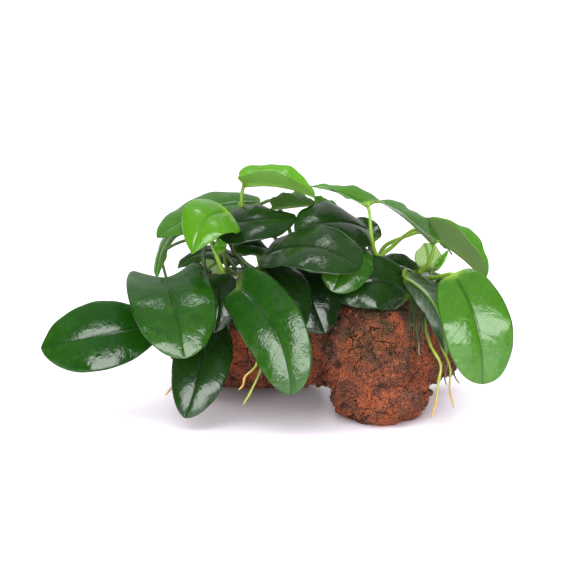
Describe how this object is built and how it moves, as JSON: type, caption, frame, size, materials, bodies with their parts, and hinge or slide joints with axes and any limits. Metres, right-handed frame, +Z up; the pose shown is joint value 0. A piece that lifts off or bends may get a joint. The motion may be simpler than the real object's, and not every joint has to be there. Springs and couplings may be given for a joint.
{
  "type": "anubias on stone",
  "caption": "Clump of small-leaved anubias growing on a porous red lava stone: creeping rhizomes, arching leaves and hanging roots. Stands on the stone's flat feet.",
  "frame": {"origin": "on the surface that the stone stands on, under the middle of the whole clump", "axes": "+Z up, +X to the right and +Y away from the viewer in the clump's front view"},
  "size_m": [0.2069, 0.1107, 0.1085],
  "materials": {
    "stone": "matt, porous lava with dark pores and traces of green algae",
    "green_leaf": "wet and glossy mid-green with a pale midrib",
    "dark_leaf": "wet, very dark green",
    "young_leaf": "bright yellow-green, thin and a little translucent",
    "rhizome": "ringed green-brown creeping stem",
    "root": "smooth yellow-green with orange tips"
  },
  "bodies": {
    "root": {"lava_stone": "stone", "leaf_back_left_arch": "green_leaf", "leaf_behind_bright": "green_leaf", "leaf_behind_centre": "dark_leaf", "leaf_bright_left": "young_leaf", "leaf_centre_left_dark": "dark_leaf", "leaf_dark_centre": "dark_leaf", "leaf_dark_under_left": "dark_leaf", "leaf_far_left": "green_leaf", "leaf_front_centre": "green_leaf", "leaf_left_back_droop": "green_leaf", "leaf_left_front": "green_leaf", "leaf_left_low": "dark_leaf", "leaf_left_mid_back": "dark_leaf", "leaf_left_mid_dark": "dark_leaf", "leaf_mid_back_small": "dark_leaf", "leaf_mid_long": "dark_leaf", "leaf_mid_low": "green_leaf", "leaf_mid_right_dark": "dark_leaf", "leaf_mid_top_dark": "dark_leaf", "leaf_new_leaf_spear": "young_leaf", "leaf_pale_back": "young_leaf", "leaf_pale_small": "young_leaf", "leaf_rear_far_left": "green_leaf", "leaf_rear_far_right": "green_leaf", "leaf_rear_left": "dark_leaf", "leaf_rear_middle": "green_leaf", "leaf_rear_right": "dark_leaf", "leaf_right_arch": "green_leaf", "leaf_right_back": "green_leaf", "leaf_right_back_dark": "dark_leaf", "leaf_right_drooping": "dark_leaf", "leaf_right_front": "green_leaf", "leaf_right_sliver": "dark_leaf", "leaf_right_top": "green_leaf", "leaf_small_under_bright": "young_leaf", "leaf_top": "young_leaf", "leaf_top_back": "green_leaf", "leaf_top_right": "green_leaf", "leaf_top_small": "green_leaf", "rhizome_left": "rhizome", "rhizome_right": "rhizome", "root_centre_green": "root", "root_centre_yellow": "root", "root_left_fine": "root", "root_left_tip": "root", "root_rear_left": "root", "root_rear_middle": "root", "root_rear_right": "root", "root_right_curled": "root", "root_right_fine": "root", "root_right_long": "root", "root_right_outer": "root", "root_right_short": "root"}
  },
  "joints": []
}
